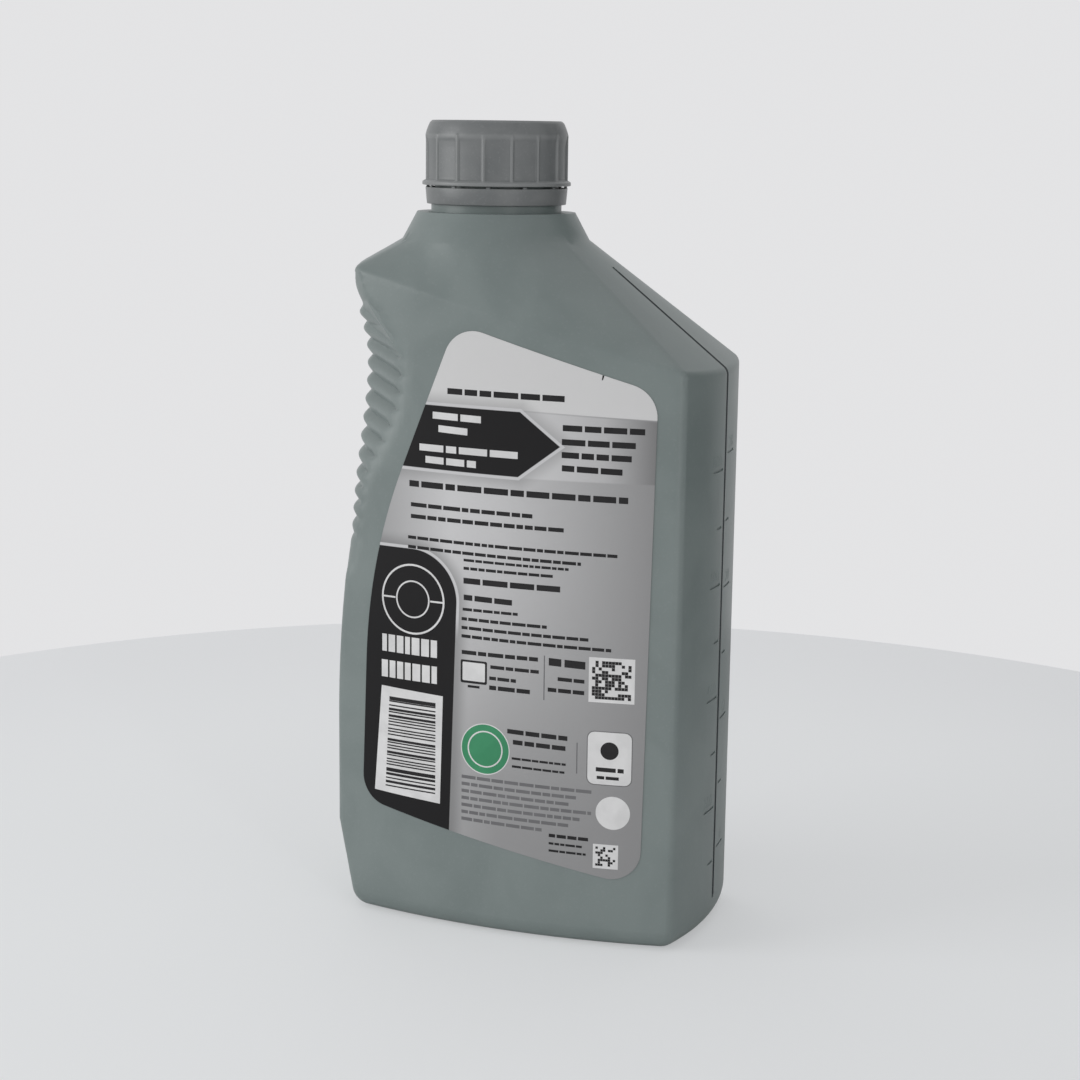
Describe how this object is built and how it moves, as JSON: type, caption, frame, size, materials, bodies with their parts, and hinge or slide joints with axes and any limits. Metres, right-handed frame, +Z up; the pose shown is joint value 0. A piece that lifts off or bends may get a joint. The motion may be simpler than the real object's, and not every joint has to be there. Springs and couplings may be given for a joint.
{
  "type": "motor oil bottle",
  "caption": "Upright blow-moulded oil bottle with a ribbed side grip, off-centre neck, ribbed screw cap with tamper ring, a label on each broad face and a graduated view strip.",
  "frame": {"origin": "middle of the body on the surface it stands on", "axes": "+Z up, X along the broad faces with the volume marks at +X and the grip at -X, the face in the picture towards -Y"},
  "size_m": [0.1104, 0.0656, 0.2268],
  "materials": {
    "bottle_plastic": "satin grey-green polyethylene with a fine mould grain",
    "cap_plastic": "satin dark grey moulded plastic",
    "liner_foam": "white closed-cell foam",
    "label_film": "printed satin film, silver, black and pale grey",
    "oil": "clear amber liquid"
  },
  "bodies": {
    "bottle": {"bottle": "bottle_plastic", "oil": "oil", "back_label": "label_film", "front_label": "label_film", "tamper_ring": "cap_plastic"},
    "cap_seal": {"cap_liner": "liner_foam"},
    "cap": {"cap": "cap_plastic"}
  },
  "joints": [
    {"name": "cap_rise", "type": "slide", "parent": "bottle", "child": "cap_seal", "axis": [0, 0, 1], "range_m": [0, 0.0063]},
    {"name": "cap_turn", "type": "hinge", "parent": "cap_seal", "child": "cap", "pos_m": [-0.0137, 0, 0.215], "axis": [0, 0, 1], "range_deg": [0, 540]}
  ],
  "couplings": [
    {"joint": "cap_rise", "follows": "cap_turn", "m_per_rad": 0.000668}
  ]
}
